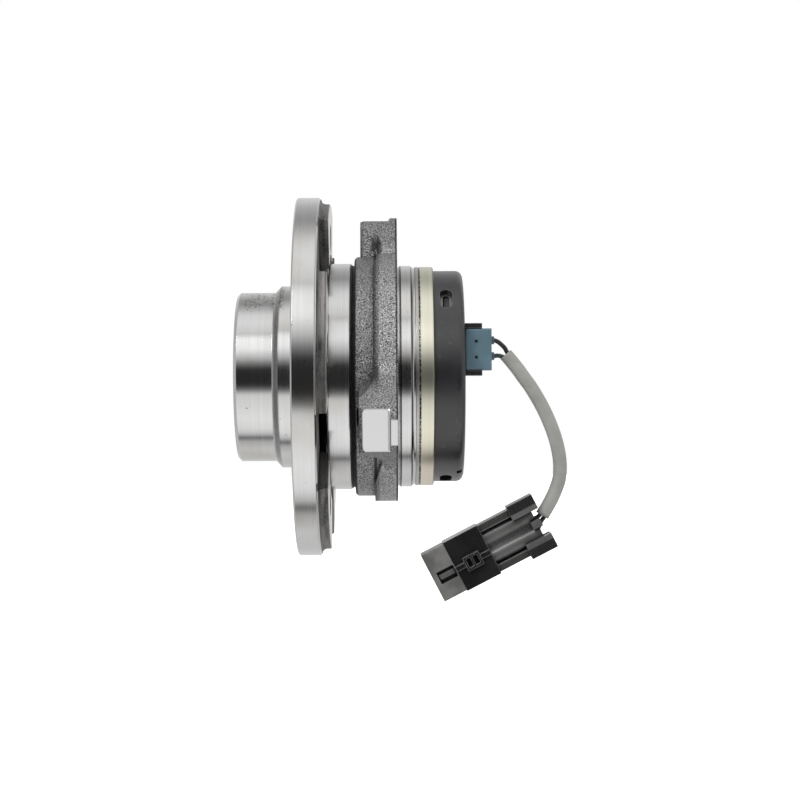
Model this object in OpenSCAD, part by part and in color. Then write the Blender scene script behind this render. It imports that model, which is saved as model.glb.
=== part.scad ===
// Driven wheel hub and bearing unit with a ring-shaped wheel speed sensor and its short harness.
// The spin axis is X: the wheel is on the -X side, the steering knuckle on the +X side.
// The origin is on the spin axis, in the plane where the cast lugs meet the knuckle.
// An angle around the axis is measured from -Y (0) through +Z (90).

/* [Wheel side] */
// Diameter of the pilot that centres the wheel
wheel_pilot_d = 70.1; // [68:0.1:71]
// Length of the wheel pilot from its chamfer to the nose
wheel_pilot_l = 15.5; // [12:0.5:18]
// Diameter of the pilot that centres the brake disc
brake_pilot_d = 75.5; // [74:0.1:78]
// Length of the brake disc pilot
brake_pilot_l = 6.8; // [5:0.1:9]
// Length of the slope between the two pilots
pilot_slope_l = 2.5; // [2:0.1:3.5]
// Diameter of the wheel flange
flange_d = 148.5; // [144:0.5:156]
// Thickness of the wheel flange between its pads
flange_t = 9.8; // [8:0.1:12]
// Distance from the wheel face to the knuckle face
flange_offset = 41.1; // [41:0.1:44]
// Diameter of the wheel bolt circle
wheel_circle_d = 115; // [112:0.5:118]
// Number of wheel bolts
wheel_bolts = 5; // [4:1:6]
// Tapping diameter of the wheel bolt holes
wheel_hole_d = 10.4; // [10:0.1:12.5]
// Height of the rear pads around the wheel bolt holes
pad_h = 3.9; // [2:0.1:4.2]
// Angle that one rear pad covers
pad_angle = 46; // [40:1:54]
// Diameter of the recess for the axle nut
nut_recess_d = 60; // [54:0.5:62]
// Distance from the nut seat to the wheel face, towards the knuckle when negative
nut_seat_out = 2; // [0:0.5:4]

/* [Axle spline] */
// Number of spline teeth
spline_teeth = 33; // [30:1:36]
// Diameter across the roots of the hub's spline
spline_major_d = 28.6; // [28:0.1:29.5]
// Diameter across the tips of the hub's spline
spline_minor_d = 26.6; // [26:0.1:27.4]

/* [Knuckle side] */
// Diameter of the pilot that enters the knuckle
knuckle_pilot_d = 92; // [91.2:0.1:93]
// Length of the knuckle pilot
knuckle_pilot_l = 5.2; // [4:0.1:5.6]
// Diameter of the mounting plate between its lugs
plate_d = 103.8; // [102:0.1:106]
// Thickness of the mounting plate
plate_t = 9.5; // [8.5:0.1:11]
// Diameter of the rough barrel in front of the plate
barrel_d = 99.4; // [98.4:0.1:101]
// Length of the rough barrel from the knuckle face
barrel_l = 17.5; // [16.6:0.1:18.4]
// Diameter of the turned land at the wheel end
land_d = 93.9; // [92:0.1:95.5]
// Number of mounting lugs
lug_count = 3; // [3:1:3]
// Angle of the first lug around the axis
lug_angle = -19.5; // [-40:0.5:0]
// Diameter of the lug bolt circle
lug_circle_d = 110; // [108:0.5:114]
// Radius of the rounded end of a lug
lug_r = 13; // [12:0.1:15]
// Thickness of a lug at its bolt hole
lug_t = 15.3; // [14:0.1:16.4]
// Distance from the axis to the milled flat on a lug
lug_flat_r = 64.6; // [63.5:0.1:66]
// Distance from the axis to the lip beside the flat
lug_lip_r = 66.9; // [66.2:0.1:68]
// Tapping diameter of the lug bolt holes
lug_hole_d = 10.2; // [9.8:0.1:11]

/* [Bearing] */
// Diameter of a ball
ball_d = 12.7; // [12:0.1:13]
// Wall of the outer ring between its pilot and its bore
ring_wall = 6.6; // [6:0.1:7]
// Space between two balls of a row
ball_space = 2.2; // [1.8:0.1:3]
// Distance between the two rows of balls
row_gap = 21; // [20.5:0.1:22]
// Distance from the knuckle face to the inboard row
row_in = 5.5; // [5:0.1:6]
// Diameter of the seat of the loose inner ring
ring_seat_d = 44; // [42:0.1:46]
// Distance from the knuckle face to the face of the inner ring
ring_face_x = 22; // [21.5:0.1:23]

/* [Speed sensor] */
// Distance from the knuckle face to the face of the cap
cap_face_x = 26.8; // [26.4:0.1:28]
// Wall thickness of the cap
cap_wall = 2; // [1.8:0.1:2.4]
// Sheet thickness of the retaining ring
retainer_t = 1.2; // [1:0.1:1.3]
// Distance from the knuckle face to the end of the retaining ring
retainer_x = 14.7; // [14.2:0.1:15.2]
// Number of teeth on the tone ring
tone_teeth = 47; // [44:1:50]
// Radial height of the sensor's winding
winding_h = 3.1; // [2.8:0.1:3.5]
// Radial gap between the tone ring and the pole ring
air_gap = 0.6; // [0.4:0.05:0.8]
// Number of drain slots in the side of the cap
slot_count = 3; // [3:1:3]
// Width of a drain slot along the axis
slot_w = 4.9; // [4:0.1:5.2]
// Length of a drain slot around the cap
slot_l = 10.6; // [8:0.1:12]

/* [Harness] */
// Height of the sensor plug
plug_h = 16.8; // [15:0.1:18]
// Length of the sensor plug along the axis
plug_l = 10.2; // [9:0.1:11]
// Thickness of the sensor plug
plug_t = 9; // [8:0.1:10]
// Diameter of a wire over its insulation
wire_d = 1.8; // [1.4:0.1:1.8]
// Outer diameter of the protective sleeve
sleeve_d = 5.6; // [5.6:0.1:6.4]
// Length of the end connector
connector_l = 50.4; // [48:0.1:54]
// Width of the end connector across its rear body
connector_w = 20.6; // [20:0.1:22]
// Thickness of the end connector
connector_t = 13.6; // [12.6:0.1:15]

/* [Hidden] */

round_fn = 96;
small_fn = 48;
eps = 0.01;

// Wheel side
nose_chamfer = 1.25;
edge_chamfer = 0.6;
wheel_face_x = -flange_offset;
flange_rear_x = wheel_face_x + flange_t;
pad_face_x = flange_rear_x + pad_h;
nose_x = wheel_face_x - brake_pilot_l - pilot_slope_l - wheel_pilot_l;
nut_seat_x = wheel_face_x - nut_seat_out;
pad_outer_r = flange_d / 2 - 2.65;
pad_inner_r = land_d / 2 + 1.3;
hole_chamfer = 0.4;
hole_lead = 1;
pad_fillet = 2;
pilot_undercut = 0.8;

// Bearing
race_clear = 0.05;
groove_r = ball_d / 2 + race_clear;
outer_bore_r = knuckle_pilot_d / 2 - ring_wall;
bore_share = 0.465;
land_share = 0.275;
pitch_r = outer_bore_r - ball_d * bore_share;
row_out_x = row_in - row_gap;
inner_low_r = pitch_r - ball_d * bore_share;
outer_land_r = pitch_r + ball_d * land_share;
shoulder_r = pitch_r - ball_d * land_share;
ball_count = floor(2 * PI * pitch_r / (ball_d + ball_space));
ring_back_x = row_in - 7.5;
spindle_end_x = ring_face_x - 0.5;
seal_land_r = shoulder_r + 3.2;
seal_run = 0.08;
seal_gap = 3;
land_end_x = flange_rear_x + seal_gap;
neck_fillet = seal_gap - 0.4;
seal_depth = 3.7;
seal_seat_r = outer_bore_r + 1.8;
seal_sheet = 0.8;
flange_gap = 2.6;
lip_reach = 1.3;
lip_step = 1.1;
lip_tip = 0.4;
cage_t = 4.4;
cage_back = 1.6;
cage_mouth = 3.2;
pocket_clear = 0.12;

// Knuckle side
spigot_end_x = 12.5;
pilot_chamfer = 0.9;
lug_front_x = -lug_t;
pocket_x = -6.4;
pocket_run = 11.6;
cove_r = 8;
lug_round = 1.3;
lip_x = -2.9;
steep_lean = 5.5;
lug_pitch_r = lug_circle_d / 2;
lug_foot_side = 14.6;
lug_foot_in = 13.9;
pilot_relief = 0.5;

// Sensor
retainer_r = knuckle_pilot_d / 2 - pilot_relief;
spigot_r = retainer_r - retainer_t;
cap_r = spigot_r - 0.5;
cap_in_r = cap_r - cap_wall;
cap_corner = 2.8;
cap_foot_t = 1;
cap_end_t = 2.2;
cap_foot_r = spigot_r - 0.05;
bobbin_wall = 0.8;
pole_sheet = 0.9;
bobbin_out_r = cap_in_r - pole_sheet;
bobbin_in_r = bobbin_out_r - winding_h - bobbin_wall;
pole_in_r = bobbin_in_r - 0.4;
tone_r = pole_in_r - air_gap;
tone_sheet = 1.2;
collar_r = tone_r - tone_sheet - 0.5;
seal_hold_r = collar_r - 1.1;
tone_back_x = spigot_end_x + 0.5;
tone_l = 10.2;
tone_end_x = tone_back_x + tone_l;
tooth_l = 4.5;
tone_seat_l = 5.5;
pole_web_x = tone_end_x - 1.1;
bobbin_x = spigot_end_x;
magnet_l = 2.6;
magnet_x = pole_web_x - magnet_l;
slot_x = 19.5;
slot_angle = 45;
lip_back = 2.8;
lip_body_l = 5;
pole_slot = 2.6;
pole_drain_w = 2.6;
pole_drain_l = 9.8;
pole_drain_angle = slot_angle - 2;
notch_angle = 296;
notch_back = 3;
notch_l = 2.1;
notch_w = 3;
notch_depth = 1.4;

// Harness
plug_y = -28;
plug_z = 10.3;
plug_x = cap_face_x + 0.6;
plug_end_x = plug_x + plug_l;
plug_clear = 0.1;
cheek_l = 7;
cheek_t = 2;
wire_step = 6.4;
wire_rise = 0.5;
boot_in = 1.5;
boot_out = 1.2;
pin_w = 0.64;
sleeve_wall = 0.5;
wire_side = (wire_d + 0.2) / 2;
connector_at = [13.5, -28, -81.3];
connector_tilt = 27.3;
nose_l = 10;
collar_l = 15.4;
cavity_r = 2.8;
barrel_step = 7.9;
cavity_l = 12.5;
mouth_in = 3;
mouth_lead = 0.4;
seal_l = 4;
seal_rib = 0.4;
wire_in = 9.8;
terminal_r = 1.3;
shell_wall = 3;
barrel_wall = 0.8;
web_front = 1.5;
rail_w = 3;
rail_in = 2.4;
wing_l = 11.3;
wing_in = 5.6;
wing_out = 1.4;
latch_w = 2.1;
frame_x = 4.2;
frame_l = 6.8;
frame_low = 4;
frame_high = 1.7;

// The sleeve's route in the XZ plane, as it hangs in the photograph
SLEEVE_ROUTE = [[43.4, 8.3], [45.8, 5.5], [48.6, 1.9], [51.3, -1.9], [53.8, -5.4], [58, -12.7], [61.3, -20],
    [63.7, -27.2], [65, -34.4], [64.9, -41], [63.4, -46], [61.2, -50.8], [57.8, -56.6]];
// The two wires on their way from the plug's boots to the sleeve's mouth, and into the connector
UPPER_LEAD = [[40.5, 13.3], [43, 11]];
LOWER_LEAD = [[40.3, 7.8], [42.7, 7.1]];
UPPER_TAIL = [[58.7, -57.1], [57.3, -59.2], [55.6, -63.1]];
LOWER_TAIL = [[57.3, -55.8], [55.3, -57.6], [53, -58.2], [50.9, -58.1]];

// Turns a profile of [radius, x] points around the spin axis
module turned(fn = round_fn) {
    rotate([0, 90, 0]) rotate_extrude($fn = fn) children();
}

// Turns the profile of a ring that is a rectangle
module turned_ring(inner, outer, x0, x1) {
    turned() translate([inner, x0]) square([outer - inner, x1 - x0]);
}

// Places what is drawn along +Z at an angle around the spin axis
module at_angle(angle) {
    rotate([90 - angle, 0, 0]) children();
}

// Repeats what is drawn along +Z evenly around the spin axis
module ring_of(count, first = 90) {
    for (i = [0 : count - 1]) at_angle(first + i * 360 / count) children();
}

// A straight cylinder along X
module rod(r, x0, x1, fn = small_fn) {
    translate([x0, 0, 0]) rotate([0, 90, 0]) cylinder(r = r, h = x1 - x0, $fn = fn);
}

// A cone along X
module cone(r0, r1, x0, x1, fn = small_fn) {
    translate([x0, 0, 0]) rotate([0, 90, 0]) cylinder(r1 = r0, r2 = r1, h = x1 - x0, $fn = fn);
}

// Points on an arc from angle a0 to angle a1
function arc(c, r, a0, a1, n = 6) =
    [for (i = [0 : n]) let (a = a0 + (a1 - a0) * i / n) c + r * [cos(a), sin(a)]];

// The point where a line from p touches a circle, on the side that is chosen
function touch_point(p, c, r, side) =
    let (d = norm(p - c), open = acos(r / d), base = atan2(p.y - c.y, p.x - c.x))
    c + r * [cos(base + side * open), sin(base + side * open)];

// The groove that one row of balls runs in
module ball_groove(x) {
    turned() translate([pitch_r, x]) circle(r = groove_r, $fn = small_fn);
}

// The pads behind the wheel flange, which give the wheel bolts a longer thread
module flange_pads() {
    foot = flange_rear_x - 1;
    for (i = [0 : wheel_bolts - 1])
        at_angle(wheel_bolt_angle(i))
            rotate([0, 90, 0])
                rotate([0, 0, 180 - pad_angle / 2])
                    rotate_extrude(angle = pad_angle, $fn = round_fn)
                        polygon(concat(
                            [[pad_inner_r, foot], [pad_outer_r + pad_fillet, foot],
                                [pad_outer_r + pad_fillet, flange_rear_x]],
                            arc([pad_outer_r + pad_fillet, flange_rear_x + pad_fillet], pad_fillet, 270, 180, 4),
                            [[pad_outer_r, pad_face_x - edge_chamfer], [pad_outer_r - edge_chamfer, pad_face_x],
                                [pad_inner_r + 3, pad_face_x], [pad_inner_r, flange_rear_x + 1]]));
}

// Angle of one wheel bolt hole
function wheel_bolt_angle(i) = 11 + i * 360 / wheel_bolts;

// One wheel bolt hole with its two countersinks
module wheel_bolt_hole() {
    r = wheel_hole_d / 2;
    translate([0, 0, wheel_circle_d / 2]) {
        rod(r, wheel_face_x - 1, pad_face_x + 1);
        cone(r + 2 * hole_chamfer, r, wheel_face_x - hole_chamfer, wheel_face_x + hole_chamfer);
        cone(r, r + 2 * hole_lead, pad_face_x - hole_lead, pad_face_x + hole_lead);
    }
}

// The outline of the hub's internal spline, as teeth with flat flanks
module spline_gap() {
    pitch = 360 / spline_teeth;
    rotate([0, 90, 0]) translate([0, 0, nut_seat_x - 1])
        linear_extrude(spindle_end_x - nut_seat_x + 2)
            polygon([for (i = [0 : spline_teeth - 1], k = [0 : 3])
                let (r = (k == 0 || k == 3 ? spline_minor_d : spline_major_d) / 2,
                    a = pitch * (i + [0.1, 0.32, 0.68, 0.9][k]))
                [r * cos(a), r * sin(a)]]);
}

module hub_spindle() {
    pilot_r = wheel_pilot_d / 2;
    brake_r = brake_pilot_d / 2;
    flange_r = flange_d / 2;
    recess_r = nut_recess_d / 2;
    seat_r = ring_seat_d / 2;
    bore_r = spline_minor_d / 2 - 0.05;
    land_x = row_out_x - ball_d / 2 - 0.75;
    color("silver")
    difference() {
        union() {
            turned() polygon(concat(
                [[bore_r, spindle_end_x], [seat_r - edge_chamfer, spindle_end_x],
                    [seat_r, spindle_end_x - edge_chamfer], [seat_r, ring_back_x],
                    [inner_low_r, ring_back_x], [inner_low_r, row_out_x], [shoulder_r, row_out_x],
                    [shoulder_r, land_x + 0.6], [seal_land_r, land_x - 0.4]],
                arc([seal_land_r + neck_fillet, flange_rear_x + neck_fillet], neck_fillet, 180, 270, 5),
                [[flange_r - 1.5, flange_rear_x], [flange_r, flange_rear_x - 0.7],
                    [flange_r, wheel_face_x + edge_chamfer], [flange_r - edge_chamfer, wheel_face_x],
                    [brake_r + 2, wheel_face_x], [brake_r + 1.4, wheel_face_x + pilot_undercut],
                    [brake_r, wheel_face_x + pilot_undercut], [brake_r, wheel_face_x - brake_pilot_l],
                    [pilot_r, wheel_face_x - brake_pilot_l - pilot_slope_l],
                    [pilot_r, nose_x + nose_chamfer], [pilot_r - nose_chamfer, nose_x],
                    [recess_r + 1, nose_x], [recess_r, nose_x + 1]],
                arc([recess_r - 3.5, nut_seat_x - 3.5], 3.5, 0, 90, 4),
                [[bore_r, nut_seat_x]]));
            flange_pads();
        }
        ball_groove(row_out_x);
        for (i = [0 : wheel_bolts - 1]) at_angle(wheel_bolt_angle(i)) wheel_bolt_hole();
        spline_gap();
        cone(spline_major_d / 2 + 1, spline_minor_d / 2 - 0.4, nut_seat_x - eps, nut_seat_x + 1.7);
        cone(spline_minor_d / 2 - 0.4, spline_major_d / 2 + 1, spindle_end_x - 1.7, spindle_end_x + eps);
    }
}

module inner_ring() {
    seat_r = ring_seat_d / 2;
    high_r = shoulder_r;
    color("lightsteelblue")
    difference() {
        turned() polygon([[seat_r, ring_back_x + 0.8], [seat_r + 0.8, ring_back_x], [inner_low_r, ring_back_x],
            [inner_low_r, row_in], [high_r, row_in], [high_r, ring_face_x - 0.8], [high_r - 0.8, ring_face_x],
            [seat_r + 0.8, ring_face_x], [seat_r, ring_face_x - 0.8]]);
        ball_groove(row_in);
    }
}

// The toothed ring that turns with the inner ring and is read by the sensor
module tone_ring() {
    seat_r = shoulder_r;
    gap_w = PI * tone_r / tone_teeth;
    color("dimgray")
    difference() {
        turned() polygon([[seat_r, tone_back_x], [tone_r, tone_back_x], [tone_r, tone_end_x],
            [tone_r - tone_sheet, tone_end_x], [tone_r - tone_sheet, tone_back_x + tone_sheet],
            [seat_r + tone_sheet, tone_back_x + tone_sheet], [seat_r + tone_sheet, tone_back_x + tone_seat_l],
            [seat_r, tone_back_x + tone_seat_l]]);
        ring_of(tone_teeth)
            translate([tone_end_x - tooth_l, -gap_w / 2, tone_r - 2 * tone_sheet])
                cube([tooth_l + 1, gap_w, 3 * tone_sheet]);
    }
}

// Half-plan of one lug, drawn along +Y with the axis at the origin
module lug_plan() {
    root = [lug_r + lug_foot_side, plate_d / 2 - lug_foot_in];
    centre = [0, lug_pitch_r];
    right = touch_point(root, centre, lug_r, 1);
    translate(centre) circle(r = lug_r, $fn = small_fn);
    polygon([[-root.x, root.y], root, right, [-right.x, right.y]]);
}

// A lug's raised front seen from outside, as [distance around, x] points: a steep side and a cove
module lug_outline() {
    rise = lug_t - plate_t;
    start = lug_r - 0.9;
    cove_end = start + sqrt(cove_r * cove_r - (cove_r - rise) * (cove_r - rise));
    open = acos((cove_r - rise) / cove_r);
    step = open / 6;
    polygon(concat(
        [[-lug_r - steep_lean, pocket_x + 1], [-lug_r - 1.3, pocket_x - 1.8], [-start, lug_front_x + 2.4]],
        arc([-start + 2, lug_front_x + 2], 2, 180, 270, 4),
        [for (i = [0 : 5]) let (a = open - i * step)
            [cove_end - cove_r * sin(a), -plate_t - cove_r + cove_r * cos(a)]],
        [[cove_end + cove_r * sin(step), -plate_t + cove_r - cove_r * cos(step)],
            [cove_end + cove_r * sin(step), pocket_x + 1]]));
}

// The pocket beside a lug's steep side, cut into the plate's front
module pocket_outline() {
    near = -lug_r - 7;
    slope = (plate_t + pocket_x) / pocket_run;
    polygon([[near - pocket_run - 1 / slope, -plate_t - 1], [near, pocket_x], [-lug_r, pocket_x],
        [-lug_r, -plate_t - 1]]);
}

// An outline of [distance around, x] points, made into a bar along +Z
module along_lug(start_r) {
    translate([0, 0, start_r]) linear_extrude(lug_lip_r + lug_r)
        rotate([0, 0, 90]) mirror([0, 1, 0]) children();
}

// The casting's plate and lugs: their plan, cut to the rising front of each lug
module cast_flange() {
    intersection() {
        rotate([0, 90, 0]) rotate([0, 0, 90]) translate([0, 0, lug_front_x - 1])
            linear_extrude(lug_t + 1) {
                circle(d = plate_d, $fn = round_fn);
                for (i = [0 : lug_count - 1]) rotate([0, 0, 90 - lug_turn(i)]) lug_plan();
            }
        union() {
            difference() {
                rod(lug_lip_r + lug_r, -plate_t, 1, round_fn);
                for (i = [0 : lug_count - 1])
                    at_angle(lug_turn(i)) along_lug(plate_d / 4) pocket_outline();
            }
            for (i = [0 : lug_count - 1])
                at_angle(lug_turn(i)) along_lug(plate_d / 4) lug_outline();
        }
    }
}

// Angle of one lug around the axis
function lug_turn(i) = lug_angle + i * 360 / lug_count;

// What is milled off the outer end of a lug, and its threaded hole
module lug_cuts() {
    top = lug_lip_r + lug_r;
    translate([0, 2 * lug_r, 0]) rotate([90, 0, 0])
        linear_extrude(4 * lug_r)
            polygon([[lug_front_x - lug_round, lug_flat_r - 1.6 * lug_round],
                [lug_front_x + 0.4 * lug_round, lug_flat_r - 0.3 * lug_round],
                [lug_front_x + lug_round, lug_flat_r], [lip_x - 1.2, lug_flat_r], [lip_x - 0.7, lug_flat_r + 0.5],
                [lip_x, lug_lip_r], [1, lug_lip_r], [1, top], [lug_front_x - lug_round, top]]);
    translate([0, 0, lug_pitch_r]) {
        r = lug_hole_d / 2;
        rod(r, lug_front_x - 1, 1);
        cone(r + 2 * hole_lead, r, lug_front_x - hole_lead, lug_front_x + hole_lead);
        cone(r, r + 2 * hole_chamfer, -hole_chamfer, hole_chamfer);
    }
}

module outer_ring() {
    pilot_r = knuckle_pilot_d / 2;
    land_r = land_d / 2;
    barrel_r = barrel_d / 2;
    color("gray")
    difference() {
        union() {
            turned() polygon([[outer_land_r, row_in], [outer_bore_r, row_in],
                [outer_bore_r, spigot_end_x - 0.6], [outer_bore_r + 0.6, spigot_end_x],
                [spigot_r - 0.4, spigot_end_x], [spigot_r, spigot_end_x - 0.4],
                [spigot_r, knuckle_pilot_l + 2], [pilot_r - pilot_chamfer, knuckle_pilot_l + 2],
                [pilot_r - pilot_chamfer, knuckle_pilot_l + 1.2], [pilot_r, knuckle_pilot_l],
                [pilot_r, 0.8], [pilot_r - pilot_relief, 0.8], [pilot_r - pilot_relief, -1], [barrel_r, -1],
                [barrel_r, 1 - barrel_l], [barrel_r - 1, -barrel_l], [land_r - 0.9, -barrel_l],
                [land_r - 0.9, -barrel_l - 0.6], [land_r, -barrel_l - 1.8],
                [land_r, land_end_x + edge_chamfer], [land_r - edge_chamfer, land_end_x],
                [seal_seat_r + 0.5, land_end_x], [seal_seat_r, land_end_x + 0.5],
                [seal_seat_r, land_end_x + seal_depth], [outer_bore_r, land_end_x + seal_depth],
                [outer_bore_r, row_out_x], [outer_land_r, row_out_x]]);
            difference() {
                cast_flange();
                rod(barrel_r - 2, lug_front_x - 1, 1, round_fn);
            }
        }
        ball_groove(row_in);
        ball_groove(row_out_x);
        for (i = [0 : lug_count - 1]) at_angle(lug_turn(i)) lug_cuts();
    }
}

module outboard_seal_case() {
    x0 = land_end_x + 0.5;
    x1 = land_end_x + seal_depth;
    color("silver")
    turned() polygon([[seal_seat_r, x0], [seal_seat_r, x1], [seal_land_r + flange_gap, x1],
        [seal_land_r + flange_gap, x1 - seal_sheet], [seal_seat_r - seal_sheet, x1 - seal_sheet],
        [seal_seat_r - seal_sheet, x0]]);
}

module outboard_seal_lip() {
    x1 = land_end_x + seal_depth - seal_sheet;
    tip_r = seal_land_r + seal_run;
    color("black")
    turned() polygon([[seal_seat_r - seal_sheet, x1], [seal_land_r + lip_reach, x1],
        [tip_r, x1 - lip_reach], [tip_r, x1 - lip_reach - lip_tip], [seal_land_r + lip_reach, x1 - lip_reach],
        [tip_r, x1 - lip_reach - lip_step], [tip_r, x1 - lip_reach - lip_step - lip_tip],
        [seal_land_r + 2 * lip_step, x1 - 2 * seal_sheet], [seal_seat_r - seal_sheet, x1 - 2 * seal_sheet]]);
}

// A snap-in cage, whose fingers reach past the ball centres on its open side
module ball_cage(x, back) {
    x0 = back < 0 ? x - ball_d / 2 - cage_back : x - cage_mouth;
    x1 = back < 0 ? x + cage_mouth : x + ball_d / 2 + cage_back;
    color("ivory")
    difference() {
        turned_ring(pitch_r - cage_t / 2, pitch_r + cage_t / 2 - 0.4, x0, x1);
        ring_of(ball_count) translate([x, 0, pitch_r])
            sphere(r = ball_d / 2 + pocket_clear, $fn = small_fn);
    }
}

module ball_row(x) {
    color("lightgray")
    ring_of(ball_count) translate([x, 0, pitch_r]) sphere(d = ball_d, $fn = small_fn);
}

module outboard_cage() {
    ball_cage(row_out_x, 1);
}

module outboard_balls() {
    ball_row(row_out_x);
}

module inboard_cage() {
    ball_cage(row_in, -1);
}

module inboard_balls() {
    ball_row(row_in);
}

// The plated steel ring that is pressed over the outer ring and holds the cap's foot
module retainer_ring() {
    x0 = knuckle_pilot_l + 2;
    foot_x = spigot_end_x + cap_foot_t;
    color("khaki")
    turned() polygon(concat(
        [[spigot_r, x0], [retainer_r, x0], [retainer_r, x0 + 1.2], [retainer_r - 0.35, x0 + 1.45],
            [retainer_r - 0.35, x0 + 1.6], [retainer_r, x0 + 1.85]],
        arc([retainer_r - 0.9, retainer_x - 0.9], 0.9, 0, 90, 4),
        [[cap_r + 0.05, retainer_x], [cap_r + 0.05, foot_x], [spigot_r, foot_x]]));
}

// One drain slot with round ends, w wide and l long, drawn along +Z
module drain_slot(w, l) {
    half = (l - w) / 2;
    translate([slot_x, 0, cap_in_r - 3]) {
        for (side = [-1, 1]) translate([0, side * half, 0]) cylinder(d = w, h = 8, $fn = small_fn);
        translate([-w / 2, -half, 0]) cube([w, 2 * half, 8]);
    }
}

// The socket on the cap's face: a foot, two cheeks with a latch hook, and a wall behind the plug
module cap_socket() {
    wide = plug_h + 2 * plug_clear + 2 * cheek_t;
    back_y = plug_y + plug_t / 2 + plug_clear;
    translate([cap_face_x - 1, back_y, plug_z - wide / 2]) cube([cheek_l + 1, cheek_t, wide]);
    for (side = [-1, 1])
        translate([0, 0, plug_z + side * (plug_h / 2 + plug_clear + cheek_t / 2)]) {
            translate([cap_face_x - 1, plug_y - plug_t / 2, -cheek_t / 2])
                cube([cheek_l + 1, plug_t + plug_clear + eps, cheek_t]);
        }
}

module sensor_cap() {
    end_in_x = cap_face_x - cap_end_t;
    color("dimgray")
    difference() {
        union() {
            turned() polygon(concat(
                [[cap_in_r, spigot_end_x], [cap_foot_r, spigot_end_x], [cap_foot_r, spigot_end_x + cap_foot_t],
                    [cap_r, spigot_end_x + cap_foot_t]],
                arc([cap_r - cap_corner, cap_face_x - cap_corner], cap_corner, 0, 90, 6),
                [[seal_hold_r + 0.5, cap_face_x], [seal_hold_r, cap_face_x - 0.5], [seal_hold_r, end_in_x - 5.4],
                    [collar_r, end_in_x - 5.4], [collar_r, end_in_x], [cap_in_r, end_in_x]]));
            cap_socket();
        }
        ring_of(slot_count, slot_angle) drain_slot(slot_w, slot_l);
        at_angle(notch_angle) translate([cap_face_x - notch_back, -notch_w / 2, cap_r - notch_depth])
            cube([notch_l, notch_w, notch_depth + 1]);
    }
}

// The rubber seal in the cap's centre, which runs on the inner ring
module inboard_seal() {
    tip_r = shoulder_r + seal_run;
    x0 = ring_face_x - lip_back;
    color("black")
    turned() polygon([[seal_hold_r, x0], [seal_hold_r, x0 + lip_body_l], [seal_hold_r - 1.2, x0 + lip_body_l],
        [seal_hold_r - 1.2, x0 + 2.2], [tip_r, x0 + 1], [tip_r, x0 + 0.6], [seal_hold_r - 1.6, x0]]);
}

// The sheet-steel ring that leads the field to the teeth, with a notch for each tooth and drain slots
module pole_ring() {
    window_w = PI * cap_in_r / tone_teeth;
    color("gainsboro")
    difference() {
        turned() polygon([[cap_in_r - pole_sheet, spigot_end_x], [cap_in_r, spigot_end_x],
            [cap_in_r, pole_web_x + pole_sheet], [pole_in_r, pole_web_x + pole_sheet],
            [pole_in_r, pole_web_x], [cap_in_r - pole_sheet, pole_web_x]]);
        ring_of(slot_count, pole_drain_angle) drain_slot(pole_drain_w, pole_drain_l);
        ring_of(tone_teeth) translate([pole_web_x - 1, -window_w / 2, pole_in_r - 1])
            cube([pole_sheet + 2, window_w, pole_slot]);
    }
}

module coil_bobbin() {
    color("saddlebrown")
    turned() polygon([[bobbin_in_r, bobbin_x + 0.5], [bobbin_out_r, bobbin_x + 0.5],
        [bobbin_out_r, bobbin_x + 0.5 + bobbin_wall], [bobbin_in_r + bobbin_wall, bobbin_x + 0.5 + bobbin_wall],
        [bobbin_in_r + bobbin_wall, magnet_x - bobbin_wall], [bobbin_out_r, magnet_x - bobbin_wall],
        [bobbin_out_r, magnet_x], [bobbin_in_r, magnet_x]]);
}

module sensor_coil() {
    color("peru")
    turned_ring(bobbin_in_r + bobbin_wall, bobbin_out_r - 0.3, bobbin_x + 0.5 + bobbin_wall,
        magnet_x - bobbin_wall);
}

module magnet_ring() {
    color("darkslategray")
    turned_ring(bobbin_in_r, bobbin_out_r, magnet_x, pole_web_x);
}

// The two blades that stand in the socket and reach into the plug
module sensor_pins() {
    color("gold")
    for (side = [-1, 1])
        translate([cap_face_x, plug_y - pin_w / 2, plug_z + side * wire_step / 2 - pin_w])
            cube([6, pin_w, 2 * pin_w]);
}

// The small plug in the socket, with a boot for each wire
module sensor_plug() {
    corner = 0.8;
    color("cadetblue")
    difference() {
        union() {
            translate([plug_x, plug_y, plug_z]) rotate([90, 0, 90])
                linear_extrude(plug_l) rounded_box(plug_t, plug_h, corner);
            for (side = [-1, 1])
                translate([0, plug_y, plug_z + wire_rise + side * wire_step / 2])
                    rod(wire_d / 2 + 0.7, plug_end_x - 1, plug_end_x + boot_out, 24);
        }
        for (side = [-1, 1]) {
            translate([plug_x - 1, plug_y - pin_w / 2, plug_z + side * wire_step / 2 - pin_w])
                cube([6.4 + cap_face_x - plug_x + 0.6, pin_w, 2 * pin_w]);
            translate([plug_x + 3.4, plug_y - plug_t / 2 - 1, plug_z + side * wire_step / 2 - 0.6])
                cube([1.2, 1.8, 1.2]);
            translate([0, plug_y, plug_z + wire_rise + side * wire_step / 2])
                rod(wire_d / 2, plug_end_x - boot_in, plug_end_x + 2, 24);
        }
    }
}

// A rectangle with round corners
module rounded_box(w, h, r) {
    square([w - 2 * r, h], center = true);
    square([w, h - 2 * r], center = true);
    for (sx = [-1, 1], sy = [-1, 1])
        translate([sx * (w / 2 - r), sy * (h / 2 - r)]) circle(r = r, $fn = 24);
}

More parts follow.
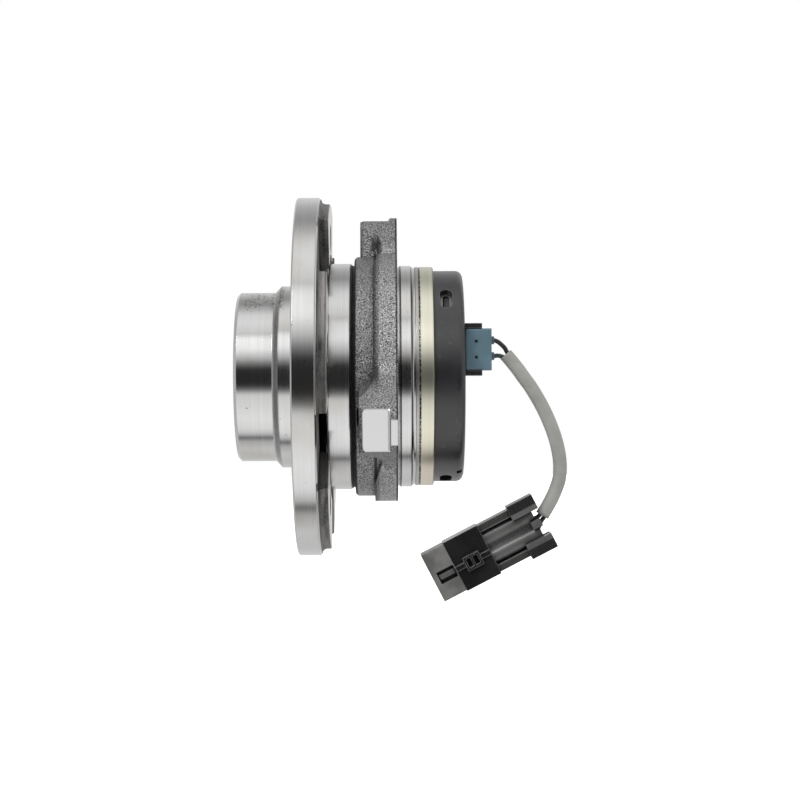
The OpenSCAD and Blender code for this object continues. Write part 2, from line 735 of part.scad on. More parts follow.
// A point on the smooth curve through four points, and the whole curve through a route
function curve_point(p0, p1, p2, p3, t) =
    0.5 * (2 * p1 + (p2 - p0) * t + (2 * p0 - 5 * p1 + 4 * p2 - p3) * t * t
        + (3 * p1 - p0 - 3 * p2 + p3) * t * t * t);
function smooth(route, per) =
    let (n = len(route), last = n - 1)
    concat([for (i = [0 : last - 1], k = [0 : per - 1])
        curve_point(route[max(0, i - 1)], route[i], route[i + 1], route[min(last, i + 2)], k / per)],
        [route[last]]);

// Direction of a flat route at point i, and the direction across it
function along(line, i) =
    let (d = line[min(len(line) - 1, i + 1)] - line[max(0, i - 1)]) d / norm(d);
function across(line, i) = let (d = along(line, i)) [-d.y, d.x];

// A flat route moved sideways
function shifted(line, by) = [for (i = [0 : len(line) - 1]) line[i] + by * across(line, i)];

// The rings of a tube around a route in the XZ plane
function tube_points(line, r, y, sides) =
    [for (i = [0 : len(line) - 1], k = [0 : sides - 1])
        let (a = 360 * k / sides, n = across(line, i) * r * cos(a))
        [line[i].x + n.x, y + r * sin(a), line[i].y + n.y]];

// A solid tube along a route
module swept(line, r, y, sides) {
    n = len(line);
    polyhedron(points = tube_points(line, r, y, sides), faces = concat(
        [[for (k = [0 : sides - 1]) k]],
        [[for (k = [sides - 1 : -1 : 0]) (n - 1) * sides + k]],
        [for (i = [0 : n - 2], k = [0 : sides - 1])
            [i * sides + k, (i + 1) * sides + k, (i + 1) * sides + (k + 1) % sides, i * sides + (k + 1) % sides]]));
}

// A hollow tube along a route, open at both ends
module swept_hollow(line, outer, inner, y, sides) {
    n = len(line);
    m = n * sides;
    last = (n - 1) * sides;
    polyhedron(
        points = concat(tube_points(line, outer, y, sides), tube_points(line, inner, y, sides)),
        faces = concat(
            [for (i = [0 : n - 2], k = [0 : sides - 1])
                [i * sides + k, (i + 1) * sides + k, (i + 1) * sides + (k + 1) % sides, i * sides + (k + 1) % sides]],
            [for (i = [0 : n - 2], k = [0 : sides - 1])
                [m + i * sides + (k + 1) % sides, m + (i + 1) * sides + (k + 1) % sides, m + (i + 1) * sides + k,
                    m + i * sides + k]],
            [for (k = [0 : sides - 1]) [k, (k + 1) % sides, m + (k + 1) % sides, m + k]],
            [for (k = [0 : sides - 1])
                [last + k, m + last + k, m + last + (k + 1) % sides, last + (k + 1) % sides]]));
}

connector_rear = connector_at + connector_l * [cos(connector_tilt), 0, sin(connector_tilt)];

// A point on a wire cavity's axis in the XZ plane, at a depth from the connector's rear
function in_cavity(depth, side) =
    let (p = connector_rear - depth * [cos(connector_tilt), 0, sin(connector_tilt)]
        + barrel_step / 2 * side * [-sin(connector_tilt), 0, cos(connector_tilt)])
    [p.x, p.z];

// One wire from its boot in the plug, through the sleeve, to its seal in the connector's other side
function wire_line(lead, tail, side, first) =
    let (inside = shifted(SLEEVE_ROUTE, side * wire_side), z = plug_z + wire_rise + side * wire_step / 2)
    concat([[plug_end_x - boot_in, z]], smooth(concat([[plug_end_x + boot_out, z]], lead,
        [for (i = [first : len(inside) - 2]) inside[i]], tail,
        [in_cavity(cavity_l - seal_l - 0.3, -side)]), 2), [in_cavity(wire_in, -side)]);

module wire_upper() {
    color("black") swept(wire_line(UPPER_LEAD, UPPER_TAIL, 1, 0), wire_d / 2, plug_y, 8);
}

module wire_lower() {
    color("darkslategray") swept(wire_line(LOWER_LEAD, LOWER_TAIL, -1, 1), wire_d / 2, plug_y, 8);
}

module cable_sleeve() {
    color("darkgray")
    swept_hollow(smooth(SLEEVE_ROUTE, 2), sleeve_d / 2, sleeve_d / 2 - sleeve_wall, plug_y, 12);
}

// Places what is drawn along +X with its front at the origin where the connector hangs
module at_connector() {
    translate(connector_at) rotate([0, -connector_tilt, 0]) children();
}

// A box along X, centred on the connector's width and thickness
module bar(x0, x1, z0, z1, y0, y1) {
    translate([x0, y0, z0]) cube([x1 - x0, y1 - y0, z1 - z0]);
}

// The rear housing with two round wire cavities, guard wings and a strain block
module connector_body() {
    half_w = connector_w / 2;
    half_t = connector_t / 2;
    x0 = nose_l + collar_l;
    mouth = connector_l - mouth_in;
    color("black")
    at_connector() difference() {
        union() {
            bar(x0, mouth, -half_w, half_w, -web_front, half_t);
            for (side = [-1, 1]) {
                z_rail = side * (half_w - rail_w / 2);
                z_wing = side * (half_w + wing_out + wing_in) / 2;
                wing_w = half_w + wing_out - wing_in;
                bar(x0, mouth, z_rail - rail_w / 2, z_rail + rail_w / 2, -half_t + rail_in, half_t);
                bar(connector_l - wing_l, connector_l, z_wing - wing_w / 2, z_wing + wing_w / 2,
                    -half_t, half_t - shell_wall);
                translate([0, 0, side * barrel_step / 2]) rod(cavity_r + barrel_wall, x0, mouth);
            }
            bar(mouth - 2.4, mouth + 1.6, -1.6, 1.6, -half_t + 1, -web_front + 0.1);
            bar(1, x0 + 0.1, -half_w + shell_wall, half_w - shell_wall, -half_t + shell_wall,
                half_t - shell_wall);
            bar(2.7, nose_l - 0.9, -latch_w, 0, -half_t + 0.9, -half_t + shell_wall + 0.1);
        }
        for (side = [-1, 1])
            translate([0, 0, side * barrel_step / 2]) {
                rod(cavity_r, connector_l - cavity_l, connector_l + 1);
                cone(cavity_r, cavity_r + mouth_lead, mouth - 1, mouth);
                rod(terminal_r, 0, connector_l - cavity_l + 1, 24);
            }
    }
}

// The front shell that the mating half slides into, with its latch window
module connector_nose() {
    half_w = connector_w / 2;
    half_t = connector_t / 2;
    color("gray")
    at_connector() difference() {
        bar(0, nose_l, -half_w, half_w, -half_t, half_t);
        bar(-1, nose_l + 1, -half_w + shell_wall, half_w - shell_wall, -half_t + shell_wall,
            half_t - shell_wall);
        bar(2.2, nose_l - 0.4, -3.7, 1.4, -half_t - 1, -half_t + shell_wall + 1);
    }
}

// The sliding lock collar, with a framed window over its latch
module connector_collar() {
    half_w = connector_w / 2 + 0.5;
    half_t = connector_t / 2 + 0.4;
    x0 = nose_l;
    x1 = nose_l + collar_l;
    color("dimgray")
    at_connector() difference() {
        union() {
            bar(x0, x1, -half_w, half_w, -half_t + 0.8, half_t);
            bar(x0, x0 + frame_x + 0.2, -latch_w, 0, -half_t - 0.2, half_t);
            bar(x0 + frame_x + frame_l - 0.2, x1, -latch_w, 0, -half_t - 0.2, half_t);
            bar(x0 + frame_x, x0 + frame_x + frame_l, -frame_low, frame_high, -half_t - 0.6, half_t);
        }
        bar(x0 - 1, x1 + 1, -connector_w / 2 + shell_wall, connector_w / 2 - shell_wall,
            -connector_t / 2 + shell_wall, connector_t / 2 - shell_wall);
        for (start = [0.9, frame_l / 2 + 0.45])
            bar(x0 + frame_x + start, x0 + frame_x + start + frame_l / 2 - 1.35, 1 - frame_low, frame_high - 0.9,
                -half_t - 1, -half_t + 1.4);
    }
}

module wire_seals() {
    x0 = connector_l - cavity_l;
    color("tan")
    at_connector() for (side = [-1, 1])
        translate([0, 0, side * barrel_step / 2]) difference() {
            union() {
                rod(cavity_r - seal_rib, x0, x0 + seal_l);
                for (start = [0, 1.4, 2.8]) rod(cavity_r, x0 + start, x0 + start + 2 * seal_rib);
            }
            rod(wire_d / 2, x0 - 1, x0 + seal_l + 1, 24);
        }
}

module connector_terminals() {
    color("gold")
    at_connector() for (side = [-1, 1])
        translate([0, 0, side * barrel_step / 2]) rod(terminal_r, 2, connector_l - cavity_l, 24);
}

hub_spindle();
inner_ring();
tone_ring();
outer_ring();
outboard_seal_case();
outboard_seal_lip();
outboard_cage();
outboard_balls();
inboard_cage();
inboard_balls();
retainer_ring();
sensor_cap();
inboard_seal();
pole_ring();
coil_bobbin();
sensor_coil();
magnet_ring();
sensor_pins();
sensor_plug();
wire_upper();
wire_lower();
cable_sleeve();
connector_body();
connector_nose();
connector_collar();
wire_seals();
connector_terminals();
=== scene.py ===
# %% [markdown]
# A driven wheel hub with its bearing, its ring-shaped speed sensor and a short harness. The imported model
# already holds every rigid piece at its true size, in metres, with the spin axis on X. So this lesson
# gives the pieces their real finishes, lays the soft harness, and sets light and camera.

# %% Load the rigid model
import math

import bmesh
import bpy
from mathutils import Matrix, Vector


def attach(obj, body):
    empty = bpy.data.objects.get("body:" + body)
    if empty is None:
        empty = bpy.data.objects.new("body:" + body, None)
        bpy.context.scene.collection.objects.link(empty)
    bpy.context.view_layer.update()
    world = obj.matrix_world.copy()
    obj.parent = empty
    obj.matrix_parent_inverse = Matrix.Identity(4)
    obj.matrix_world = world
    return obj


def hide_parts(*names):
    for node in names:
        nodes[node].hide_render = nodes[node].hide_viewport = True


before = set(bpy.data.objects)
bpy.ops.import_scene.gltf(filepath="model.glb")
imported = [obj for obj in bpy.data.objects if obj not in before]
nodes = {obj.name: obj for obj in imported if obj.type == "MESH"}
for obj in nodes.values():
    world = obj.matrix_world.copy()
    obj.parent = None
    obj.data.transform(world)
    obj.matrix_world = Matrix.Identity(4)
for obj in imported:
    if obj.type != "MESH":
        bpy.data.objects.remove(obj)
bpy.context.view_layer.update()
scene = bpy.context.scene

# %% [markdown]
# The photograph was taken square from the side, with a long lens at the height of the axis. A long lens
# keeps the round flange almost a straight bar, which is why this view looks like a drawing. The camera
# stands 0.8 m away, is turned a third of a degree, and is rolled a little, as the real one was.

# %% Camera
EYE = Vector((-0.0032, -0.793, -0.00985))
YAW, ROLL = 0.3, -0.3
FOCAL, SENSOR = 85.5, 36
lens = bpy.data.cameras.new("side_lens")
lens.lens = FOCAL
lens.sensor_width = SENSOR
camera = bpy.data.objects.new("side_camera", lens)
scene.collection.objects.link(camera)
ahead = Vector((math.sin(math.radians(YAW)), math.cos(math.radians(YAW)), 0))
camera.rotation_mode = "QUATERNION"
camera.location = EYE
camera.rotation_quaternion = ahead.to_track_quat("-Z", "Y")
roll = Matrix.Rotation(math.radians(ROLL), 4, "Z")
camera.rotation_quaternion = (camera.rotation_quaternion.to_matrix().to_4x4() @ roll).to_quaternion()
scene.camera = camera
print("camera at", [round(v, 3) for v in EYE], "lens", lens.lens)

# %% [markdown]
# The harness is soft, so it is laid here along its route: two wires of 1.8 mm run through a sleeve. Its
# route is a short list of points that hang in one plane, and a curve is drawn through them. The curve
# passes through every point, and each span is split into shorter steps so that it bends softly.

# %% The route of the harness
MM = 0.001
# The plug's place, the end of its boots, and how far a wire sits in a boot and runs straight out of it
PLUG_Y, PLUG_Z = -28, 10.3
PLUG_END_X, BOOT_IN, BOOT_OUT = 37.6, 1.5, 1.2
# The boots' spacing and rise, the wires' offset in the sleeve, then the diameters and the sleeve's wall
WIRE_STEP, WIRE_RISE, WIRE_SIDE, WIRE_D = 6.4, 0.5, 1.0, 1.8
SLEEVE_D, SLEEVE_WALL = 5.6, 0.5
# Points of X and Z along the sleeve, then those before and after it on each wire
SLEEVE_ROUTE = [(43.4, 8.3), (45.8, 5.5), (48.6, 1.9), (51.3, -1.9), (53.8, -5.4), (58, -12.7), (61.3, -20),
                (63.7, -27.2), (65, -34.4), (64.9, -41), (63.4, -46), (61.2, -50.8), (57.8, -56.6)]
UPPER_LEAD = [(40.5, 13.3), (43, 11)]
LOWER_LEAD = [(40.3, 7.8), (42.7, 7.1)]
UPPER_TAIL = [(58.7, -57.1), (57.3, -59.2), (55.6, -63.1)]
LOWER_TAIL = [(57.3, -55.8), (55.3, -57.6), (53, -58.2), (50.9, -58.1)]
# The connector's front, tilt and length, the spacing of its wire cavities, and two depths in them
CONNECTOR_AT, CONNECTOR_TILT, CONNECTOR_L = (13.5, -28, -81.3), 27.3, 50.4
BARREL_STEP, SEAL_MOUTH, WIRE_IN = 7.9, 8.2, 9.8


def between(p0, p1, p2, p3, t):
    """A point on the smooth curve that runs from p1 to p2."""
    return 0.5 * (2 * p1 + (p2 - p0) * t + (2 * p0 - 5 * p1 + 4 * p2 - p3) * t * t
                  + (3 * p1 - p0 - 3 * p2 + p3) * t ** 3)


def smooth(route, steps):
    """The route's points, with steps points on each span."""
    p = [Vector(q) for q in route]
    line = [between(p[max(0, i - 1)], p[i], p[i + 1], p[min(len(p) - 1, i + 2)], k / steps)
            for i in range(len(p) - 1) for k in range(steps)]
    return line + [p[-1]]


def across(line, i):
    """The direction at right angles to a flat route at its point i."""
    d = (line[min(len(line) - 1, i + 1)] - line[max(0, i - 1)]).normalized()
    return Vector((-d.y, d.x))


def beside(route, by):
    """A flat route moved sideways."""
    p = [Vector(q) for q in route]
    return [q + by * across(p, i) for i, q in enumerate(p)]


def in_space(line):
    """A flat route in millimetres, placed in the plane of the plug, in metres."""
    return [Vector((p.x, PLUG_Y, p.y)) * MM for p in line]


def length_of(line):
    """The length of a line along its points."""
    return sum((b - a).length for a, b in zip(line, line[1:]))


tilt = math.radians(CONNECTOR_TILT)
rear = Vector((CONNECTOR_AT[0], CONNECTOR_AT[2])) + CONNECTOR_L * Vector((math.cos(tilt), math.sin(tilt)))


def in_cavity(depth, side):
    """A point on a wire cavity's axis, at a depth from the connector's rear."""
    point = rear - depth * Vector((math.cos(tilt), math.sin(tilt)))
    return point + BARREL_STEP / 2 * side * Vector((-math.sin(tilt), math.cos(tilt)))


def wire_route(lead, tail, side, first):
    """One wire from its boot in the plug, through the sleeve, to its seal on the connector's other side."""
    z = PLUG_Z + WIRE_RISE + side * WIRE_STEP / 2
    middle = beside(SLEEVE_ROUTE, side * WIRE_SIDE)[first:-1]
    bends = [(PLUG_END_X + BOOT_OUT, z)] + lead + middle + tail + [in_cavity(SEAL_MOUTH, -side)]
    return [Vector((PLUG_END_X - BOOT_IN, z))] + smooth(bends, 4) + [in_cavity(WIRE_IN, -side)]


routes = {
    "wire_upper": in_space(wire_route(UPPER_LEAD, UPPER_TAIL, 1, 0)),
    "wire_lower": in_space(wire_route(LOWER_LEAD, LOWER_TAIL, -1, 1)),
    "cable_sleeve": in_space(smooth(SLEEVE_ROUTE, 4)),
}
print({k: round(length_of(v) * 1000, 1) for k, v in routes.items()})

# %% [markdown]
# A tube is a ring of points carried along the route. The sleeve is hollow, so it gets a second, inner
# skin. Rings of points are used, and not a curve with a bevel, because the sleeve's open mouth has to
# show its wall.

# %% Tubes along the routes
def tube(name, line, radius, sides, wall=0.0):
    """A round tube along a line in the XZ plane, hollow where a wall is given."""
    def skin(bm, r):
        rings = []
        for i, p in enumerate(line):
            d = (line[min(len(line) - 1, i + 1)] - line[max(0, i - 1)]).normalized()
            n = Vector((-d.z, 0, d.x))
            turns = [math.tau * k / sides for k in range(sides)]
            spokes = [math.cos(a) * n + math.sin(a) * Vector((0, 1, 0)) for a in turns]
            rings.append([bm.verts.new(p + r * spoke) for spoke in spokes])
        return rings

    def walls(bm, rings, flip):
        for a, b in zip(rings, rings[1:]):
            for k in range(sides):
                quad = [a[k], b[k], b[(k + 1) % sides], a[(k + 1) % sides]]
                bm.faces.new(quad[::-1] if flip else quad)

    bm = bmesh.new()
    outer = skin(bm, radius)
    walls(bm, outer, False)
    if wall:
        inner = skin(bm, radius - wall)
        walls(bm, inner, True)
        for end, flip in ((0, True), (-1, False)):
            for k in range(sides):
                after = (k + 1) % sides
                quad = [outer[end][k], inner[end][k], inner[end][after], outer[end][after]]
                bm.faces.new(quad[::-1] if flip else quad)
    else:
        bm.faces.new(outer[0])
        bm.faces.new(outer[-1][::-1])
    bmesh.ops.recalc_face_normals(bm, faces=bm.faces)
    mesh = bpy.data.meshes.new(name)
    bm.to_mesh(mesh)
    bm.free()
    for face in mesh.polygons:
        face.use_smooth = len(face.vertices) == 4
    piece = bpy.data.objects.new(name, mesh)
    scene.collection.objects.link(piece)
    return piece


def lay_cord(node, diameter, sides, wall=0.0):
    """A piece of the harness that stands for its plain solid."""
    line = routes[node]
    piece = tube(node + "_laid", line, diameter / 2 * MM, sides, wall * MM)
    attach(piece, "outer_assembly")
    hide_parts(node)
    return piece


upper = lay_cord("wire_upper", WIRE_D, 16)
lower = lay_cord("wire_lower", WIRE_D, 16)
sleeve = lay_cord("cable_sleeve", SLEEVE_D, 32, wall=SLEEVE_WALL)
print("cords", [p.name for p in (upper, lower, sleeve)])

# %% [markdown]
# Every finish below is a node material. A colour is picked as the eye sees it on a screen, as an sRGB hex
# value, but light is added up in linear values, so one function turns the hex value to linear. One small
# function adds a node with its settings and its links, which keeps a material readable from top to
# bottom.

# %% Helpers for materials
def lin(hex_value, alpha=1.0):
    """An sRGB hex value such as 7F7F7F as linear red, green, blue, alpha."""
    parts = [int(hex_value[i:i + 2], 16) / 255 for i in (0, 2, 4)]
    return tuple(c / 12.92 if c <= 0.04045 else ((c + 0.055) / 1.055) ** 2.4 for c in parts) + (alpha,)


def add(tree, kind, inputs=None, **settings):
    """Adds one node, sets its properties, and sets or links its inputs. Gives the node back."""
    node = tree.nodes.new(kind)
    for key, value in settings.items():
        setattr(node, key, value)
    for key, value in (inputs or {}).items():
        if isinstance(value, bpy.types.NodeSocket):
            tree.links.new(value, node.inputs[key])
        else:
            node.inputs[key].default_value = value
    return node


def calc(tree, operation, one, other=0.0):
    """One sum, product, maximum or other step of arithmetic on two values."""
    return add(tree, "ShaderNodeMath", {0: one, 1: other}, operation=operation).outputs[0]


def vector(tree, operation, one, other=(0, 0, 0)):
    """The same for two vectors. A length or a dot product comes back as a value."""
    node = add(tree, "ShaderNodeVectorMath", {0: one, 1: other}, operation=operation)
    return node.outputs["Value" if operation in ("DOT_PRODUCT", "LENGTH") else "Vector"]


def noise(tree, place, scale, detail, rough=0.5):
    """Grey clouds between 0 and 1, with scale of them to a millimetre."""
    settings = {"Vector": place, "Scale": scale, "Detail": detail, "Roughness": rough}
    return add(tree, "ShaderNodeTexNoise", settings).outputs["Fac"]


def edge(tree, value, low, high):
    """0 below low, 1 above high, and a soft step between them."""
    return add(tree, "ShaderNodeMapRange", {"Value": value, "From Min": low, "From Max": high},
               interpolation_type="SMOOTHSTEP").outputs[0]


def below(tree, value, low, high):
    """1 below low, 0 above high, and a soft step between them."""
    return calc(tree, "SUBTRACT", 1.0, edge(tree, value, low, high))


def band(tree, value, at, half):
    """1 near one place, fading to 0 at half a width on both sides of it."""
    away = calc(tree, "ABSOLUTE", calc(tree, "SUBTRACT", value, at))
    limits = {"Value": away, "From Min": half / 3, "From Max": half, "To Min": 1.0, "To Max": 0.0}
    return add(tree, "ShaderNodeMapRange", limits, interpolation_type="SMOOTHSTEP").outputs[0]


def all_of(tree, mask, *others):
    """The product of masks: 1 only where every one is 1."""
    for other in others:
        mask = calc(tree, "MULTIPLY", mask, other)
    return mask


def any_of(tree, mask, *others):
    """The highest of masks: 1 where one of them is 1."""
    for other in others:
        mask = calc(tree, "MAXIMUM", mask, other)
    return mask


def mixed(tree, factor, one, other):
    """A colour between two, or a number between two."""
    kind = "FLOAT" if isinstance(one, float) or getattr(one, "type", "") == "VALUE" else "RGBA"
    first = 2 if kind == "FLOAT" else 6
    node = add(tree, "ShaderNodeMix", data_type=kind)
    for at, value in ((0, factor), (first, one), (first + 1, other)):
        if isinstance(value, bpy.types.NodeSocket):
            tree.links.new(value, node.inputs[at])
        else:
            node.inputs[at].default_value = value
    return node.outputs[0 if kind == "FLOAT" else 2]


def rounded_normal(tree, edge_r):
    """The surface's direction, as if its sharp edges were rounded by edge_r metres."""
    return add(tree, "ShaderNodeBevel", {"Radius": edge_r}, samples=4).outputs[0]


def bumped(tree, shader, height, strength, distance, edge_r):
    """Small relief, distance metres deep, on a surface whose sharp edges catch light as if rounded."""
    bump = add(tree, "ShaderNodeBump", {"Height": height, "Strength": strength, "Distance": distance,
               "Normal": rounded_normal(tree, edge_r)}).outputs[0]
    tree.links.new(bump, shader.inputs["Normal"])


def shade_painted_in_corners(tree, colour, dark, reach):
    """Painted shade: a colour that falls to a darker one in corners and hollows, as much as they are closed
    in.
    """
    open_air = add(tree, "ShaderNodeAmbientOcclusion", {"Distance": reach}, samples=4).outputs["AO"]
    return mixed(tree, edge(tree, open_air, 0.25, 0.85), lin(dark), colour)


def pale_edge_highlights(tree, colour, pale, amount, edge_r):
    """Painted highlights: a colour that turns paler along sharp edges, as a rounded edge would catch the
    light.
    """
    flat = add(tree, "ShaderNodeNewGeometry").outputs["True Normal"]
    same = vector(tree, "DOT_PRODUCT", flat, rounded_normal(tree, edge_r))
    limits = {"Value": same, "From Min": 0.98, "From Max": 0.85, "To Max": amount}
    sharp = add(tree, "ShaderNodeMapRange", limits)
    return mixed(tree, sharp.outputs[0], colour, lin(pale))


def new_finish(name, **sockets):
    """A material with its shader, whose constant values are set on the shader's own sockets."""
    made = bpy.data.materials.new(name)
    made.use_nodes = True
    tree = made.node_tree
    shader = tree.nodes["Principled BSDF"]
    for key, value in sockets.items():
        shader.inputs[key.replace("_", " ")].default_value = value
    return made, tree, shader


def wear(node_name, made):
    """Puts a finish into the material slots of a rigid node."""
    piece = nodes[node_name]
    for i in range(max(1, len(piece.material_slots))):
        if not piece.material_slots:
            piece.data.materials.append(None)
        piece.material_slots[i].link = "OBJECT"
        piece.material_slots[i].material = made


print("a mid grey in linear:", round(lin("808080")[0], 3))

# %% [markdown]
# Turned steel. The lathe leaves fine rings round the axis, 0.1 to 0.2 mm apart, with a light oil film on
# them. The rings bend light across them, so a highlight is sharp along the ring and smeared along the
# axis. The shader does that with anisotropy about a tangent that runs round X. The rings that are wide
# enough to show come from a noise that is stretched round the axis: its coordinate is the distance along
# X plus the radius, so the same pattern makes rings on a cylinder and on a face. Real rings are too fine
# to show at this size, so they are drawn about 0.5 mm apart.

# %% Coordinates on the spin axis
def axis_coordinates(tree):
    """The place, its distance along X, its distance from the axis, and their sum, in millimetres."""
    place = add(tree, "ShaderNodeTexCoord").outputs["Object"]
    scaled = vector(tree, "MULTIPLY", place, (1000, 1000, 1000))
    x = add(tree, "ShaderNodeSeparateXYZ", {0: scaled}).outputs["X"]
    radius = vector(tree, "LENGTH", vector(tree, "MULTIPLY", scaled, (0, 1, 1)))
    return scaled, x, radius, calc(tree, "ADD", x, radius)


def height_of(tree, place):
    """How far above the axis a place is, in millimetres."""
    return add(tree, "ShaderNodeSeparateXYZ", {0: place}).outputs["Z"]


def ring_noise(tree, place, profile, step):
    """Grey rings round the axis, step millimetres apart, that fade in and out along their length."""
    slow = vector(tree, "MULTIPLY", place, (0, 0.012, 0.012))
    lined = add(tree, "ShaderNodeCombineXYZ", {0: calc(tree, "MULTIPLY", profile, 1 / step)}).outputs[0]
    return noise(tree, vector(tree, "ADD", slow, lined), 1.0, 2.0)


def round_the_axis(tree, shader, amount):
    """A highlight that is smeared across the lathe's rings, which run round X."""
    shader.inputs["Anisotropic"].default_value = amount
    shader.inputs["Anisotropic Rotation"].default_value = 0.25
    tangent = add(tree, "ShaderNodeTangent", direction_type="RADIAL", axis="X").outputs[0]
    tree.links.new(tangent, shader.inputs["Tangent"])


print("helpers for turned surfaces are ready")

# %% [markdown]
# Forged and turned steel, for the hub. The blank is forged and shot-blasted, then the nose, the pilots,
# the flange's faces and its rim are turned bright. Behind the flange the forged skin stays: darker and
# rough. The eye reads the change from mirror to matte as two different operations on one piece.

# %% The hub's steel
def turned_colour(tree, place, profile):
    """Bright steel with faint rings, a thin brown oil film, and a few dark specks."""
    rings = ring_noise(tree, place, profile, 0.5)
    tone = mixed(tree, rings, lin("BABAB9"), lin("C9C9C9"))
    film = edge(tree, noise(tree, place, 0.035, 3.0), 0.5, 0.75)
    tone = mixed(tree, film, tone, lin("B9B6B0"))
    spots = edge(tree, noise(tree, place, 0.9, 4.0), 0.71, 0.76)
    return mixed(tree, spots, tone, lin("4A4640")), rings


# Where the forged skin lies: from the flange's rear to the pads' turned faces, and outside this radius
FLANGE_REAR_X, PAD_FACE_X, FORGED_R = -31.45, -27.62, 47.7
# The bore's radius, the stains' place and half width along X, and the height where they begin
NOSE_BORE_R, STAIN_X, STAIN_HALF, STAIN_Z = 32.5, -58.0, 9.0, 24.0
# The nose's corner with the half widths of its dirt and its flecks, then the roughness of both surfaces
NOSE_CORNER_X, CORNER_HALF, FLECK_HALF = -48.8, 1.6, 3.5
TURNED_ROUGH, FORGED_ROUGH = (0.14, 0.21), 0.55


def nose_marks(tree, place, x, radius):
    """Stains on top of the nose, flecks beside its corner, and dirt in the corner all round."""
    specks = noise(tree, place, 1.1, 5.0, 0.75)
    patches = noise(tree, place, 0.14, 1.0)
    top = edge(tree, height_of(tree, place), STAIN_Z, STAIN_Z + 7)
    top = all_of(tree, top, edge(tree, radius, NOSE_BORE_R, NOSE_BORE_R + 0.5))
    stain = all_of(tree, top, band(tree, x, STAIN_X, STAIN_HALF), edge(tree, specks, 0.5, 0.62),
                   edge(tree, patches, 0.42, 0.52))
    dirt = all_of(tree, band(tree, x, NOSE_CORNER_X, CORNER_HALF), mixed(tree, specks, 0.35, 1.0))
    flecks = all_of(tree, top, band(tree, x, NOSE_CORNER_X, FLECK_HALF), edge(tree, specks, 0.46, 0.56))
    return any_of(tree, flecks, stain, dirt)


def hub_steel():
    """Turned bright, with a dark forged skin behind the flange."""
    made, tree, shader = new_finish("forged_and_turned_steel", Metallic=1.0)
    place, x, radius, profile = axis_coordinates(tree)
    bright, rings = turned_colour(tree, place, profile)
    bright = mixed(tree, nose_marks(tree, place, x, radius), bright, lin("2E2D2B"))
    pads = calc(tree, "SUBTRACT", edge(tree, x, FLANGE_REAR_X, FLANGE_REAR_X + 0.2),
                edge(tree, x, PAD_FACE_X, PAD_FACE_X + 0.12))
    forged = all_of(tree, pads, edge(tree, radius, FORGED_R, FORGED_R + 0.5))
    drawn = noise(tree, vector(tree, "MULTIPLY", place, (0.5, 0.07, 0.07)), 1.0, 3.0)
    skin = noise(tree, place, 1.6, 4.0, 0.7)
    scale = mixed(tree, edge(tree, drawn, 0.35, 0.65), lin("3E3D3C"), lin("7E7C7A"))
    scale = mixed(tree, edge(tree, skin, 0.45, 0.75), scale, lin("8C8A88"))
    # The forged skin is painted darker in its corners and hollows, as shade.
    scale = shade_painted_in_corners(tree, scale, "2A2A29", 0.004)
    tree.links.new(mixed(tree, forged, bright, scale), shader.inputs["Base Color"])
    polish = mixed(tree, rings, *TURNED_ROUGH)
    tree.links.new(mixed(tree, forged, polish, FORGED_ROUGH), shader.inputs["Roughness"])
    height = mixed(tree, forged, rings, skin)
    bumped(tree, shader, height, mixed(tree, forged, 0.015, 0.35), 0.0002, 0.0004)
    round_the_axis(tree, shader, 0.5)
    return made


wear("hub_spindle", hub_steel())
print("hub steel on", nodes["hub_spindle"].name)

# %% [markdown]
# Shot-blasted casting, for the outer ring. Blasting leaves a grain of small dents, about 0.6 mm across,
# that catch the light as bright and dark specks. Only what seats or seals is turned afterwards: the land,
# the pilot and the lug faces that the knuckle and the tool touch. Those areas are found by their place.

# %% The outer ring's casting
# The first lug's angle, the number of lugs, and how far out their milled flat and lip lie
LUG_ANGLE, LUG_COUNT, LUG_FLAT_R, LUG_LIP_R = -19.5, 3, 64.6, 66.9
# The flat's front, half width and corner radius, the step behind it, and both sides of the lip
FLAT_FRONT, FLAT_HALF, FLAT_CORNER, STEP_X, LIP_X, LIP_END = -13.9, 9.5, 2.8, -3.7, -2.9, -0.3
# Along X: the end of the turned land, the front of the barrel, the parting line and the turned rear face
LAND_EDGE, BARREL_FRONT, PARTING_X, REAR_X = -19.3, -17.0, -9.1, -0.06
# Radii: where a lug's foot begins and ends, where the parting line fades, and the hollow's four edges
LUG_FOOT_R, LUG_FOOT_END_R = 52.5, 56
PARTING_R, PARTING_END_R = 51, 55
HOLLOW_R, HOLLOW_END_R = (50.5, 53), (54.5, 61)
# Dark lines as a place and a half width along X: painted shade at the rear edge, then oil on the pilot
REAR_SHADE, OIL_LINES = (-0.5, 0.45), ((1.2, 0.4), (5.6, 0.5))


